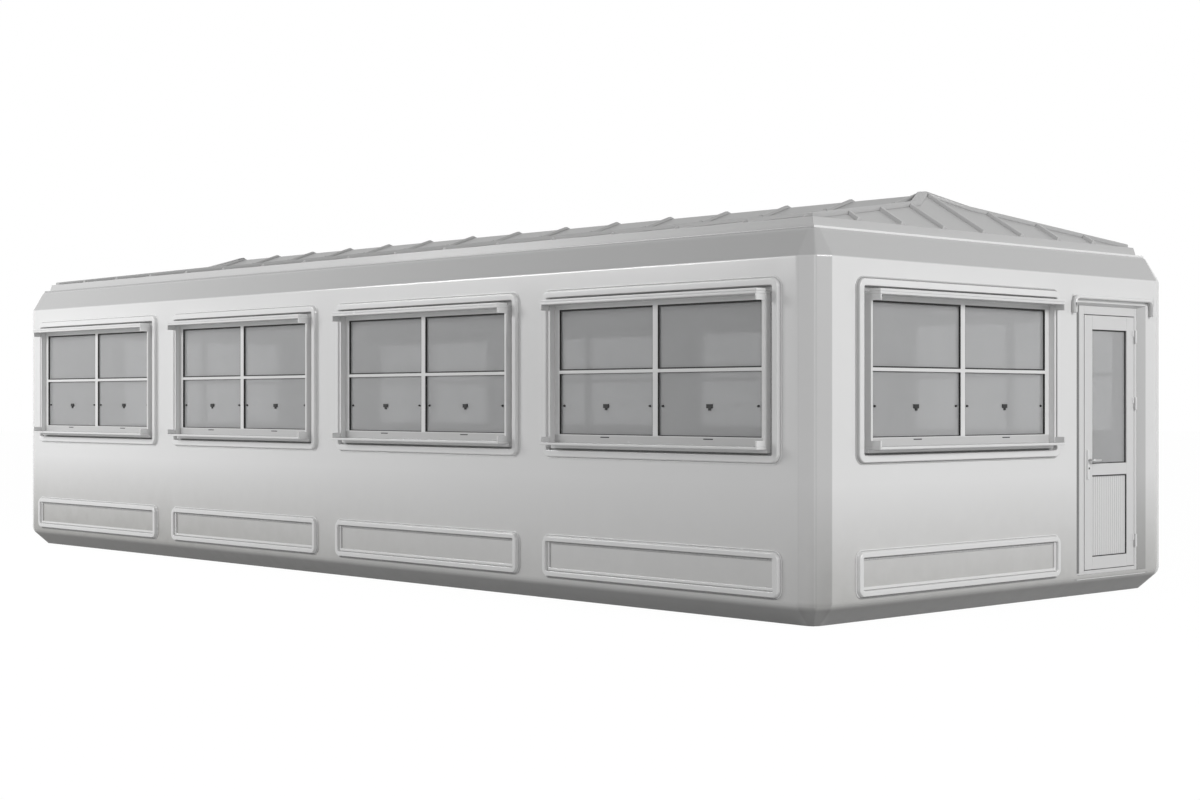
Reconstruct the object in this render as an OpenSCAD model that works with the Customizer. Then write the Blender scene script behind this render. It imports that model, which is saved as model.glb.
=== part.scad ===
// Moulded kiosk cabin with a hipped ribbed roof, sash windows and a glazed end door.
// Millimetres, +Z up. X runs along the cabin, the door end is +X, the front is -Y.
// The origin is the middle of the base, on the ground.

/* [Body] */
// Length of the cabin over its end walls
body_l = 9900; // [7600:10:12400]
// Width of the cabin over its long walls
body_w = 3900; // [3300:10:4600]
// Height of the wall top, where the cornice starts
wall_h = 2220; // [1900:5:2600]
// Thickness of the sandwich walls
wall_t = 60; // [50:1:70]
// Radius of the faceted wall corners
corner_r = 150; // [140:1:160]
// Height of the sloped base
base_h = 125; // [110:1:140]
// How far the sloped base draws in at the ground
base_in = 134; // [100:1:136]
// Thickness of the floor deck
floor_t = 20; // [15:1:30]
// Thickness of the ceiling panel
ceiling_t = 30; // [20:1:40]

/* [Cornice and eave] */
// Height of the sloped cornice
cornice_h = 160; // [140:1:180]
// How far the cornice draws in over its height
cornice_in = 96; // [90:1:100]
// Height of the turned shoulder on top of the cornice
shoulder_h = 13; // [8:1:20]
// How far the shoulder draws in
shoulder_in = 14; // [8:1:20]
// Inset of the thin eave strip from the wall face
eave_in = 124; // [122:1:130]
// Thickness of the eave strip
eave_t = 16; // [10:1:20]
// Inset of the fascia foot from the wall face
fascia_in = 162; // [155:1:170]
// Lean of the fascia over its height
fascia_lean = 13; // [5:1:20]
// Height of the fascia
fascia_h = 58; // [45:1:70]
// Inset of the fascia's back, where the roof sheets start
roof_in = 200; // [195:1:220]

/* [Roof] */
// Rise of the ridge over the fascia top
ridge_rise = 298; // [250:1:340]
// Rise of the bend in the long slopes over the fascia top
bend_rise = 203; // [180:1:220]
// Distance of that bend from the ridge, in plan
bend_run = 280; // [240:5:340]
// Run of the steep hip ends, in plan
hip_run = 490; // [450:5:540]
// Thickness of the roof sheets, measured upright
roof_t = 30; // [20:1:40]
// Spacing of the ribs on the long slopes
rib_pitch = 600; // [500:5:700]
// Width of a rib at its foot
rib_w = 54; // [40:1:70]
// Width of a rib at its top
rib_top_w = 26; // [14:1:34]
// Height of a rib
rib_h = 20; // [12:1:30]
// Spacing of the ribs on the hip ends
hip_rib_pitch = 435; // [400:5:480]
// Width of the hip caps
cap_w = 90; // [70:5:120]
// How far the hip caps reach over the hip ends
cap_lip = 20; // [10:1:30]
// Height of the hip caps
cap_h = 24; // [22:1:34]

/* [Windows] */
// Width of a window over its jambs
window_w = 1960; // [1400:5:2300]
// Width of the wall piers between windows
pier_w = 440; // [300:5:600]
// Least width of a wall pier beside a corner post
least_pier_w = 110; // [100:5:200]
// Width of the wall piers beside the window of the door end
end_pier_w = 307.5; // [250:0.5:400]
// Height of the window foot
sill_z = 1060; // [1000:1:1120]
// Drop from the wall top to the window heads and the door frame's head
head_drop = 204; // [190:1:230]
// Thickness of the jamb boards
jamb_t = 18; // [12:1:25]
// How far the jamb boards stand out of the wall
jamb_out = 41; // [35:1:50]
// How far the sill and head trays stand out of the wall
tray_out = 115; // [90:1:130]
// Thickness of the tray plates
tray_t = 16; // [12:1:20]
// Height of the tray end cheeks over their plate
cheek_h = 38; // [30:1:50]
// Thickness of the tray end cheeks
cheek_t = 12; // [8:1:16]
// Thickness of the window glass
glass_t = 8; // [4:1:12]
// Depth of the glass behind the wall face
glass_in = 16; // [10:1:30]

/* [Moulded beads] */
// Gap from a window's jambs to the bead round it
bead_gap = 38; // [25:1:45]
// Gap from a window's sill and head to the bead round it
bead_rise = 33; // [25:1:40]
// Width of a window bead at the wall
bead_w = 53; // [45:1:60]
// How far a bead stands out of the wall
bead_out = 27; // [20:1:35]
// Lean of a bead's inner side
bead_lean = 4; // [2:1:8]
// Slope of a bead's outer side
bead_slope = 9; // [5:1:20]
// Inner corner radius of the beads
bead_r = 10; // [6:1:20]
// Foot of the lower panels' field over the ground
panel_z = 208; // [200:1:220]
// Height of the lower panels' field
panel_h = 195; // [170:1:220]
// Width of a lower panel's bead at the wall
panel_bead_w = 44; // [40:1:50]

/* [Door] */
// Width of the wall pier between the doorway and the corner post
door_pier_w = 135; // [100:1:200]
// Width of the door frame
door_w = 760; // [700:1:850]
// Depth of the door frame's face behind the wall face
door_in = 40; // [35:1:45]
// Spread of the doorway's side reveals
reveal_w = 65; // [50:1:70]
// Rise of the doorway's sloped soffit
soffit_rise = 18; // [10:1:30]
// Depth of the door frame
frame_d = 60; // [58:1:70]
// Width of the lock side jamb
lock_jamb_w = 90; // [80:1:95]
// Width of the hinge side jamb
hinge_jamb_w = 30; // [30:1:40]
// Height of the frame's head bar
frame_head_h = 60; // [50:1:70]
// Height of the frame's sill bar
frame_sill_h = 54; // [45:1:60]
// Width of the door stops
stop_w = 18; // [14:1:22]
// Gap round the door leaf
leaf_gap = 5; // [5:0.5:6]
// Gap on the lock side, where the leaf's back corner swings
lock_gap = 8; // [8:0.5:10]
// Thickness of the door leaf
leaf_t = 44; // [40:1:48]
// Width of the leaf's stiles
stile_w = 95; // [85:1:105]
// Height of the leaf's top rail
top_rail_h = 98; // [85:1:110]
// Height of the leaf's bottom rail
bottom_rail_h = 87; // [80:1:100]
// Height of the leaf's middle rail
mid_rail_h = 80; // [70:1:90]
// Foot of the middle rail over the ground
mid_rail_z = 838; // [800:1:850]
// Thickness of the lower door panel
panel_t = 20; // [14:1:26]
// Spacing of the grooves in the lower door panel
groove_pitch = 27; // [20:1:40]
// Width and depth of those grooves
groove_w = 4; // [2:0.5:6]
// Rise of the bevelled threshold
threshold_h = 26; // [15:1:35]

/* [Door hood] */
// Clear width between the hood's legs
hood_w = 946; // [930:1:970]
// How far the hood is set off from the doorway's middle
hood_at = -10; // [-20:1:10]
// Gap from the soffit's edge to the hood's underside
hood_gap = 20; // [10:1:30]
// Length of the hood's turned-down legs
hood_leg = 70; // [60:1:90]
// Width of the hood bead
hood_bead_w = 27; // [24:1:32]
// How far the hood bead stands out of the wall
hood_out = 40; // [30:1:50]
// Inner radius of the hood's corners
hood_r = 28; // [20:1:40]

/* [Door fittings] */
// Height of the bottom hinge over the leaf's foot
hinge_rise = 178; // [140:1:220]
// Distance between the two upper hinges
hinge_space = 475; // [400:1:550]
// Drop of the top hinge under the leaf's top
hinge_drop = 139; // [120:1:200]
// Height of one hinge knuckle
knuckle_h = 45; // [35:1:60]
// Radius of the hinge knuckles
knuckle_r = 9; // [8:0.5:10]
// Radius of the hinge pin
hinge_pin_r = 4; // [3:0.5:5]
// Running clearance round the hinge pin
pin_clear = 0.08; // [0.05:0.01:0.1]
// Distance of the hinge pin in front of the leaf's face
hinge_out = 12; // [12:0.5:13]
// Length of a hinge wing from the pin
wing_l = 28; // [22:1:29]
// Thickness of the hinge wings
wing_t = 4; // [3.5:0.5:6]
// Height of the handle over the ground
handle_z = 945; // [930:1:960]
// Distance of the handle from the leaf's lock edge
handle_in = 38; // [35:1:50]
// Width of the handle plate
plate_w = 30; // [26:1:34]
// Length of the handle plate over the handle
plate_up = 70; // [60:1:80]
// Length of the handle plate under the handle
plate_down = 135; // [120:1:150]
// Thickness of the handle plate
plate_t = 8; // [5:0.5:10]
// Length of the lever
lever_l = 135; // [110:1:150]
// Radius of the lever bar
lever_r = 8; // [6:0.5:10]
// Distance of the lever bar from the plate
lever_out = 42; // [35:1:50]
// Drop of the key cylinder under the handle
key_drop = 57; // [50:1:70]
// Radius of the key cylinder
key_r = 9; // [7:0.5:10]
// How far the key cylinder stands out of its plate
key_out = 4; // [2:0.5:6]

/* [Hidden] */
$fn = 48;
far = 30000;
seat_gap = 0.3;
rib_root = 5;
rib_step = 2;
half_l = body_l / 2;
half_w = body_w / 2;
cornice_top = wall_h + cornice_h + shoulder_h;
eave_top = cornice_top + eave_t;
fascia_top = eave_top + fascia_h;
ridge_z = fascia_top + ridge_rise;
roof_hl = half_l - roof_in;
roof_hw = half_w - roof_in;
ridge_hl = roof_hl - hip_run;
bend_hl = roof_hl - hip_run * bend_rise / ridge_rise;
low_run = roof_hw - bend_run;
low_pitch = atan(bend_rise / low_run);
top_pitch = atan((ridge_rise - bend_rise) / bend_run);
hip_pitch = atan(ridge_rise / hip_run);
hip_line = [[roof_hl, roof_hw], [bend_hl, bend_run], [ridge_hl, seat_gap]];
rib_count = 2 * floor((ridge_hl + rib_w) / rib_pitch) + 1;
hip_rib_count = 2 * floor((roof_hw - cap_w) / hip_rib_pitch) + 1;
long_run = half_l - corner_r;
end_run = half_w - corner_r;
head_z = wall_h - head_drop;
window_pitch = window_w + pier_w;
window_count = floor((2 * long_run + pier_w - 2 * least_pier_w) / window_pitch);
window_row = [for (i = [0 : window_count - 1]) (i - (window_count - 1) / 2) * window_pitch];
bead_inner_h = head_z - sill_z + 2 * bead_rise;
door_far = end_run - door_pier_w - reveal_w;
door_at = door_far - door_w;
end_window_w = door_at - reveal_w + end_run - 2 * end_pier_w;
end_window_at = end_pier_w + end_window_w / 2 - end_run;
opening_u0 = door_at + lock_jamb_w;
opening_u1 = door_far - hinge_jamb_w;
frame_back = door_in + frame_d;
frame_sill_top = base_h + frame_sill_h;
frame_head_foot = head_z - frame_head_h;
leaf_u0 = opening_u0 + lock_gap;
leaf_u1 = opening_u1 - leaf_gap;
leaf_z0 = frame_sill_top + leaf_gap;
leaf_z1 = frame_head_foot - leaf_gap;
leaf_back = door_in + leaf_t;
stop_front = leaf_back + leaf_gap;
light_u0 = leaf_u0 + stile_w;
light_u1 = leaf_u1 - stile_w;
mid_rail_top = mid_rail_z + mid_rail_h;
top_rail_foot = leaf_z1 - top_rail_h;
bottom_rail_top = leaf_z0 + bottom_rail_h;
hinge_u = (leaf_u1 + opening_u1) / 2;
hinge_y = door_in - hinge_out;
handle_u = leaf_u0 + handle_in;
hinge_top = leaf_z1 - hinge_drop;
hinge_row = [leaf_z0 + hinge_rise, hinge_top - hinge_space, hinge_top];

// Each wall is drawn as the front is: u along X, depth into the wall along +Y, outer face at Y = 0.
module on_front() translate([0, -half_w, 0]) children();
module on_back() rotate(180) translate([0, -half_w, 0]) children();
module on_door_end() rotate(90) translate([0, -half_l, 0]) children();
module on_far_end() rotate(-90) translate([0, -half_l, 0]) children();

// Every window in its place. $w tells a piece how wide its window is.
module at_windows() {
  $w = window_w;
  on_front() for (u = window_row) translate([u, 0, 0]) children();
  on_back() for (u = window_row) translate([u, 0, 0]) children();
  on_far_end() children();
  let ($w = end_window_w) on_door_end() translate([end_window_at, 0, 0]) children();
}

// A box from its lowest to its highest corner.
module block(low, high) translate(low) cube(high - low);

// A section drawn in depth and height, run along a wall from u0 to u1.
module along_wall(u0, u1) translate([u0, 0, 0]) rotate([90, 0, 90]) linear_extrude(u1 - u0) children();

// Plan of the cabin drawn in from the wall face, with two facets at each corner.
function plan_point(quarter, angle, inset) =
  let (sx = (quarter == 0 || quarter == 3) ? 1 : -1, sy = quarter < 2 ? 1 : -1)
  [sx * (half_l - corner_r) + (corner_r - inset) * cos(angle),
   sy * (half_w - corner_r) + (corner_r - inset) * sin(angle)];
function plan(inset) = [for (q = [0 : 3], a = [0 : 45 : 90]) plan_point(q, 90 * q + a, inset)];

// A solid through the plan at rising levels, each level a height and an inset.
module loft(levels) {
  n = len(plan(0));
  top = len(levels) - 1;
  points = [for (level = levels) for (p = plan(level[1])) [p[0], p[1], level[0]]];
  sides = [for (k = [0 : top - 1], i = [0 : n - 1])
    [k * n + i, (k + 1) * n + i, (k + 1) * n + (i + 1) % n, k * n + (i + 1) % n]];
  foot = [for (i = [0 : n - 1]) i];
  lid = [for (i = [n - 1 : -1 : 0]) top * n + i];
  polyhedron(points, concat([foot], sides, [lid]));
}

// Mitred sectors of the plan: the two long sides, and the two ends.
module long_sectors() for (turn = [0, 180]) rotate(turn) linear_extrude(far)
  polygon([[-half_l, -half_w], [half_l, -half_w], [half_l - half_w + 1, -1], [half_w - half_l - 1, -1]]);
module end_sectors() for (turn = [0, 180]) rotate(turn) linear_extrude(far)
  polygon([[half_l, -half_w], [half_l, half_w], [half_l - half_w, 0]]);

// Plan of the room inside the walls and the corner posts.
module room_plan() {
  x = half_l - wall_t;
  y = half_w - wall_t;
  cut = corner_r - wall_t;
  polygon([
    [x, cut - y], [x, y - cut], [x - cut, y], [cut - x, y],
    [-x, y - cut], [-x, cut - y], [cut - x, -y], [x - cut, -y]
  ]);
}

// The sloped base that the walls stand on.
module base_pan() color("gainsboro") loft([[0, base_in], [base_h, 0]]);

// The floor deck, cut round the foot of the door frame.
module floor_deck() color("silver") difference() {
  translate([0, 0, base_h]) linear_extrude(floor_t) room_plan();
  on_door_end() block([door_at, 0, 0], [door_far, frame_back, far]);
}

module ceiling() color("whitesmoke")
  translate([0, 0, wall_h - ceiling_t]) linear_extrude(ceiling_t) room_plan();

// The bands of a wall under and over its windows.
module wall_bands(run) {
  block([-run, 0, base_h], [run, wall_t, sill_z]);
  block([-run, 0, head_z], [run, wall_t, wall_h]);
}

// The piers of a wall, in the stretches that its windows leave free.
module wall_piers(run, places) {
  sides = [for (u = places, s = [-1, 1]) u + s * window_w / 2];
  edges = concat([-run], sides, [run]);
  for (i = [0 : 2 : len(edges) - 2]) block([edges[i], 0, sill_z], [edges[i + 1], wall_t, head_z]);
}

module front_wall() color("whitesmoke") on_front() wall_bands(long_run);
module front_piers() color("whitesmoke") on_front() wall_piers(long_run, window_row);
module back_wall() color("whitesmoke") on_back() wall_bands(long_run);
module back_piers() color("whitesmoke") on_back() wall_piers(long_run, window_row);
module far_end_wall() color("whitesmoke") on_far_end() wall_bands(end_run);
module far_end_piers() color("whitesmoke") on_far_end() wall_piers(end_run, [0]);

// The doorway's splayed mouth, in front of the door frame.
function splay(depth, spread) = spread * (1 - depth / door_in);
module doorway_plan() polygon([
  [door_at - splay(-1, reveal_w), -1], [door_far + splay(-1, reveal_w), -1],
  [door_far, door_in], [door_at, door_in]
]);
module doorway_mouth() intersection() {
  linear_extrude(far) doorway_plan();
  along_wall(0, half_w) polygon([
    [-1, 0], [-1, head_z + splay(-1, soffit_rise)], [door_in, head_z], [door_in, 0]
  ]);
}

// Plan of the wall from u0 up to the doorway, and from the doorway on to u1.
module lock_side_plan(u0) polygon([
  [u0, 0], [door_at - reveal_w, 0], [door_at, door_in], [door_at, wall_t], [u0, wall_t]
]);
module hinge_side_plan(u1) polygon([
  [door_far + reveal_w, 0], [u1, 0], [u1, wall_t], [door_far, wall_t], [door_far, door_in]
]);

module door_end_wall() color("whitesmoke") on_door_end() {
  translate([0, 0, base_h]) linear_extrude(sill_z - base_h) lock_side_plan(-end_run);
  difference() {
    block([-end_run, 0, head_z], [end_run, wall_t, wall_h]);
    doorway_mouth();
  }
}

module door_end_piers() color("whitesmoke") on_door_end() {
  block([-end_run, 0, sill_z], [end_pier_w - end_run, wall_t, head_z]);
  translate([0, 0, sill_z]) linear_extrude(head_z - sill_z) lock_side_plan(end_window_at + end_window_w / 2);
  translate([0, 0, base_h]) linear_extrude(head_z - base_h) hinge_side_plan(end_run);
}

// The faceted posts between the walls.
module corner_posts() color("whitesmoke") for (q = [0 : 3]) {
  outer = [for (a = [0 : 45 : 90]) plan_point(q, 90 * q + a, 0)];
  inner = [for (a = [90, 0]) plan_point(q, 90 * q + a, wall_t)];
  translate([0, 0, base_h]) linear_extrude(wall_h - base_h) polygon(concat(outer, inner));
}

// The sloped cornice with its turned shoulder, mitred at the corners.
module cornice() difference() {
  loft([
    [wall_h, 0], [wall_h + cornice_h, cornice_in], [cornice_top, cornice_in + shoulder_in]
  ]);
  loft([
    [wall_h - 1, wall_t], [wall_h, wall_t], [cornice_top, corner_r - 1], [cornice_top + 1, corner_r - 1]
  ]);
}
module cornice_long() color("gainsboro") intersection() { cornice(); long_sectors(); }
module cornice_ends() color("gainsboro") intersection() { cornice(); end_sectors(); }

// A square-cornered frame round the roof, between two insets that change with height.
module eave_box(z, h, foot_in, top_in) intersection() {
  rotate([90, 0, 0]) linear_extrude(far, center = true) polygon([
    [foot_in - half_l, z], [half_l - foot_in, z], [half_l - top_in, z + h], [top_in - half_l, z + h]
  ]);
  rotate([90, 0, 90]) linear_extrude(far, center = true) polygon([
    [foot_in - half_w, z], [half_w - foot_in, z], [half_w - top_in, z + h], [top_in - half_w, z + h]
  ]);
}
module eave_frame(z, h, foot_in, top_in) difference() {
  eave_box(z, h, foot_in, top_in);
  eave_box(z - 1, h + 2, roof_in, roof_in);
}

module eave_strip() color("white") eave_frame(cornice_top, eave_t, eave_in, eave_in);
module fascia() eave_frame(eave_top, fascia_h, fascia_in, fascia_in + fascia_lean);
module fascia_long() color("gainsboro") intersection() { fascia(); long_sectors(); }
module fascia_ends() color("gainsboro") intersection() { fascia(); end_sectors(); }

// The hip roof as one thick sheet, steeper by the ridge; sectors of its plan give the four slopes.
module hip_form(foot, rise_from) intersection() {
  rotate([90, 0, 90]) linear_extrude(2 * roof_hl, center = true) polygon([
    [-roof_hw, foot], [roof_hw, foot], [roof_hw, rise_from], [bend_run, rise_from + bend_rise],
    [0, rise_from + ridge_rise], [-bend_run, rise_from + bend_rise], [-roof_hw, rise_from]
  ]);
  rotate([90, 0, 0]) linear_extrude(2 * roof_hw, center = true) polygon([
    [-roof_hl, foot], [roof_hl, foot], [roof_hl, rise_from], [ridge_hl, rise_from + ridge_rise],
    [-ridge_hl, rise_from + ridge_rise], [-roof_hl, rise_from]
  ]);
}
module roof_sheet() difference() {
  hip_form(fascia_top - roof_t, fascia_top);
  hip_form(fascia_top - roof_t - 1, fascia_top - roof_t);
}
module long_slope_plan() polygon([
  [-roof_hl, -roof_hw], [roof_hl, -roof_hw], [bend_hl, -bend_run], [ridge_hl, 0],
  [-ridge_hl, 0], [-bend_hl, -bend_run]
]);
module hip_slope_plan() polygon([
  [roof_hl, -roof_hw], [roof_hl, roof_hw], [bend_hl, bend_run], [ridge_hl, 0], [bend_hl, -bend_run]
]);

module long_slope() intersection() {
  roof_sheet();
  linear_extrude(far) long_slope_plan();
}
module roof_front() color("lightgray") long_slope();
module roof_back() color("lightgray") rotate(180) long_slope();
module roof_hips() color("lightgray") for (turn = [0, 180]) rotate(turn) intersection() {
  roof_sheet();
  linear_extrude(far) hip_slope_plan();
}

// A rib runs up its slope along +Y. Its flanks go on under the surface, for the roof to cut off.
function rib_half(v) = rib_w / 2 - v * (rib_w - rib_top_w) / 2 / rib_h;
module rib(length, h, slim) translate([0, length, 0]) rotate([90, 0, 0]) linear_extrude(length) polygon([
  [slim - rib_half(-rib_root), -rib_root], [rib_half(-rib_root) - slim, -rib_root],
  [rib_half(h) - slim, h], [slim - rib_half(h), h]
]);

// Ribs of one long slope, cut off upright at the eave, the bend and the ridge, slimmer over the bend.
module slope_ribs() difference() {
  for (i = [0 : rib_count - 1]) translate([(i - (rib_count - 1) / 2) * rib_pitch, 0, fascia_top]) {
    intersection() {
      translate([0, -roof_hw, 0]) rotate([low_pitch, 0, 0]) translate([0, -low_run, 0])
        rib(3 * low_run, rib_h, 0);
      block([-rib_w, seat_gap - roof_hw, -far], [rib_w, -bend_run, far]);
    }
    intersection() {
      translate([0, 0, ridge_rise]) rotate([top_pitch, 0, 0]) translate([0, -half_w, 0])
        rib(body_w, rib_h - rib_step, rib_step / 2);
      block([-rib_w, -bend_run, -far], [rib_w, 0, far]);
    }
  }
  hip_form(fascia_top - roof_t, fascia_top);
}
module roof_ribs() color("lightgray") for (turn = [0, 180]) rotate(turn) slope_ribs();

// Ribs of one hip end, cut off upright at the eave and where they reach the hip caps.
module hip_end_ribs() difference() {
  intersection() {
    for (i = [0 : hip_rib_count - 1])
      translate([roof_hl, (i - (hip_rib_count - 1) / 2) * hip_rib_pitch, fascia_top])
        rotate(90) rotate([hip_pitch, 0, 0]) translate([0, -hip_run, 0]) rib(3 * hip_run, rib_h, 0);
    linear_extrude(far) translate([cap_lip + seat_gap, 0]) hip_slope_plan();
    block([0, -half_w, 0], [roof_hl - seat_gap, half_w, far]);
  }
  hip_form(fascia_top - roof_t, fascia_top);
}
module hip_ribs() color("lightgray") for (turn = [0, 180]) rotate(turn) hip_end_ribs();

// A cap lies on each hip: the roof's own form, raised, over a strip along the hip line.
module hip_strip() polygon(concat(
  [for (p = hip_line) [p[0] + cap_lip, p[1]]],
  [for (i = [len(hip_line) - 1 : -1 : 0]) [hip_line[i][0] + cap_lip - cap_w, hip_line[i][1]]]
));
module hip_caps() color("gainsboro") for (turn = [0, 180], side = [0, 1]) rotate(turn) difference() {
  intersection() {
    hip_form(fascia_top, fascia_top + cap_h);
    mirror([0, side, 0]) linear_extrude(far) hip_strip();
  }
  hip_form(fascia_top - roof_t, fascia_top);
  roof_ribs();
}

// A moulded bead round an opening of w by h, drawn flat with its front up.
module bead_section(width) polygon([
  [0, 0], [width, 0], [width - bead_slope, bead_out], [bead_lean, bead_out]
]);
module bead_ring(w, h) for (side = [0 : 3]) {
  run = (side % 2 == 0 ? w : h) - 2 * bead_r;
  reach = (side % 2 == 0 ? h : w) / 2;
  rotate(90 * side) {
    translate([-run / 2, reach, 0]) rotate([90, 0, 90]) linear_extrude(run) children();
    translate([run / 2, reach - bead_r, 0]) rotate_extrude(angle = 90) translate([bead_r, 0]) children();
  }
}

module window_surrounds() color("white") at_windows()
  translate([0, 0, (sill_z + head_z) / 2]) rotate([90, 0, 0])
    bead_ring($w + 2 * bead_gap, bead_inner_h) bead_section(bead_w);

module panel_frames() color("white") at_windows()
  translate([0, 0, panel_z + panel_h / 2]) rotate([90, 0, 0])
    bead_ring($w + 2 * (bead_gap + bead_w - panel_bead_w), panel_h) bead_section(panel_bead_w);

// Windows: jamb boards between a head tray and a sill tray, with one sheet of glass.
module window_jambs() color("white") at_windows() for (side = [0, 1]) mirror([side, 0, 0])
  block([$w / 2 - jamb_t, -jamb_out, sill_z + tray_t], [$w / 2, wall_t, head_z - tray_t]);

module tray_plate(z) block([-$w / 2, -tray_out, z], [$w / 2, wall_t, z + tray_t]);
module window_heads() color("white") at_windows() tray_plate(head_z - tray_t);
module window_sills() color("white") at_windows() tray_plate(sill_z);

module tray_cheeks() color("white") at_windows() for (side = [0, 1]) mirror([side, 0, 0])
  for (z = [sill_z + tray_t, head_z - tray_t - cheek_h])
    block([$w / 2 - cheek_t, -tray_out, z], [$w / 2, -jamb_out, z + cheek_h]);

module window_glass() color("lightsteelblue") at_windows()
  block([jamb_t - $w / 2, glass_in, sill_z + tray_t], [$w / 2 - jamb_t, glass_in + glass_t, head_z - tray_t]);

// Door frame.
module door_jambs() color("white") on_door_end() {
  block([door_at, door_in, base_h], [opening_u0, frame_back, head_z]);
  block([opening_u1, door_in, base_h], [door_far, frame_back, head_z]);
}
module door_head() color("white") on_door_end()
  block([opening_u0, door_in, frame_head_foot], [opening_u1, frame_back, head_z]);
module door_sill() color("white") on_door_end()
  block([opening_u0, door_in, base_h], [opening_u1, frame_back, frame_sill_top]);

// Stops behind the leaf, on the jambs and the head.
module door_stops() color("white") on_door_end() {
  block([opening_u0, stop_front, frame_sill_top], [opening_u0 + stop_w, frame_back, frame_head_foot]);
  block([opening_u1 - stop_w, stop_front, frame_sill_top], [opening_u1, frame_back, frame_head_foot]);
  block([opening_u0 + stop_w + 1, stop_front, frame_head_foot - stop_w],
        [opening_u1 - stop_w - 1, frame_back, frame_head_foot]);
}

// Bevelled threshold between the reveals.
module door_threshold() color("white") on_door_end() intersection() {
  translate([0, 0, base_h]) linear_extrude(threshold_h) doorway_plan();
  along_wall(0, half_w) polygon([[0, base_h], [door_in, base_h], [door_in, base_h + threshold_h]]);
}

// Hood bead over the doorway, with round corners and short legs.
module hood_section() polygon([
  [0, 0], [hood_bead_w, 0], [hood_bead_w - bead_lean, hood_out], [bead_lean, hood_out]
]);
module door_hood() color("white") on_door_end()
  translate([(door_at + door_far) / 2 + hood_at, 0, head_z + soffit_rise + hood_gap]) rotate([90, 0, 0]) {
    run = hood_w - 2 * hood_r;
    translate([-run / 2, 0, 0]) rotate([90, 0, 90]) linear_extrude(run) hood_section();
    for (side = [0, 1]) mirror([side, 0, 0]) translate([run / 2, -hood_r, 0]) {
      rotate_extrude(angle = 90) translate([hood_r, 0]) hood_section();
      translate([hood_r, 0, 0]) rotate([90, 0, 0]) linear_extrude(hood_leg) hood_section();
    }
  }

// Hinges: the frame's knuckle carries the pin, and the leaf's knuckle turns on it.
module at_hinges() on_door_end() for (z = hinge_row) translate([hinge_u, hinge_y, z]) children();
module hinge_wing(side, z) {
  start = side * seat_gap;
  translate([0, 0, z]) linear_extrude(knuckle_h) polygon([
    [start, hinge_out - wing_t], [side * wing_l, hinge_out - wing_t],
    [side * wing_l, hinge_out], [start + side * leaf_gap, hinge_out]
  ]);
}
module frame_hinges() color("gainsboro") at_hinges() {
  translate([0, 0, -knuckle_h]) cylinder(r = knuckle_r, h = knuckle_h);
  hinge_wing(1, -knuckle_h);
  translate([0, 0, -knuckle_h]) cylinder(r = hinge_pin_r, h = 2 * knuckle_h);
}
module leaf_hinges() color("gainsboro") at_hinges() difference() {
  union() {
    translate([0, 0, seat_gap]) cylinder(r = knuckle_r, h = knuckle_h);
    hinge_wing(-1, seat_gap);
  }
  cylinder(r = hinge_pin_r + pin_clear, h = far, center = true);
}

// Door leaf: stiles and rails, with glass over a grooved panel.
module door_stiles() color("white") on_door_end() {
  block([leaf_u0, door_in, leaf_z0], [light_u0, leaf_back, leaf_z1]);
  block([light_u1, door_in, leaf_z0], [leaf_u1, leaf_back, leaf_z1]);
}
module door_rails() color("white") on_door_end() {
  block([light_u0, door_in, leaf_z0], [light_u1, leaf_back, bottom_rail_top]);
  block([light_u0, door_in, mid_rail_z], [light_u1, leaf_back, mid_rail_top]);
  block([light_u0, door_in, top_rail_foot], [light_u1, leaf_back, leaf_z1]);
}
module door_glass() color("lightsteelblue") on_door_end() {
  y = door_in + (leaf_t - glass_t) / 2;
  block([light_u0, y, mid_rail_top], [light_u1, y + glass_t, top_rail_foot]);
}
module door_panel() color("whitesmoke") on_door_end() {
  y = door_in + (leaf_t - panel_t) / 2;
  middle = (light_u0 + light_u1) / 2;
  grooves = floor((light_u1 - light_u0 - groove_pitch) / groove_pitch);
  difference() {
    block([light_u0, y, bottom_rail_top], [light_u1, y + panel_t, mid_rail_z]);
    for (i = [0 : grooves - 1]) translate([middle + (i - (grooves - 1) / 2) * groove_pitch, y, 0])
      rotate(45) cube([groove_w, groove_w, far], center = true);
  }
}

// Handle plates on both faces of the leaf, and the two levers that turn as one.
module both_faces() {
  translate([handle_u, door_in, handle_z]) children();
  translate([handle_u, leaf_back, handle_z]) mirror([0, 1, 0]) children();
}
module handle_plates() color("silver") on_door_end() both_faces() {
  block([-plate_w / 2, -plate_t, -plate_down], [plate_w / 2, 0, plate_up]);
  translate([0, 0, -key_drop]) rotate([90, 0, 0]) cylinder(r = key_r, h = plate_t + key_out);
}
module door_levers() color("silver") on_door_end() both_faces() {
  translate([0, -plate_t - seat_gap, 0]) rotate([90, 0, 0]) cylinder(r = lever_r, h = lever_out - seat_gap);
  translate([0, -plate_t - lever_out, 0]) {
    sphere(r = lever_r);
    rotate([0, 90, 0]) cylinder(r = lever_r, h = lever_l);
    translate([lever_l, 0, 0]) sphere(r = lever_r);
  }
}

base_pan();
floor_deck();
front_wall();
front_piers();
back_wall();
back_piers();
far_end_wall();
far_end_piers();
door_end_wall();
door_end_piers();
corner_posts();
ceiling();
cornice_long();
cornice_ends();
eave_strip();
fascia_long();
fascia_ends();
roof_front();
roof_back();
roof_hips();
roof_ribs();
hip_ribs();
hip_caps();
window_surrounds();
panel_frames();
window_jambs();
window_heads();
window_sills();
tray_cheeks();
window_glass();
door_jambs();
door_head();
door_sill();
door_stops();
door_threshold();
door_hood();
frame_hinges();
door_stiles();
door_rails();
door_glass();
door_panel();
leaf_hinges();
handle_plates();
door_levers();
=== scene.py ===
import math

import bmesh
import bpy
from mathutils import Matrix, Vector


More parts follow.
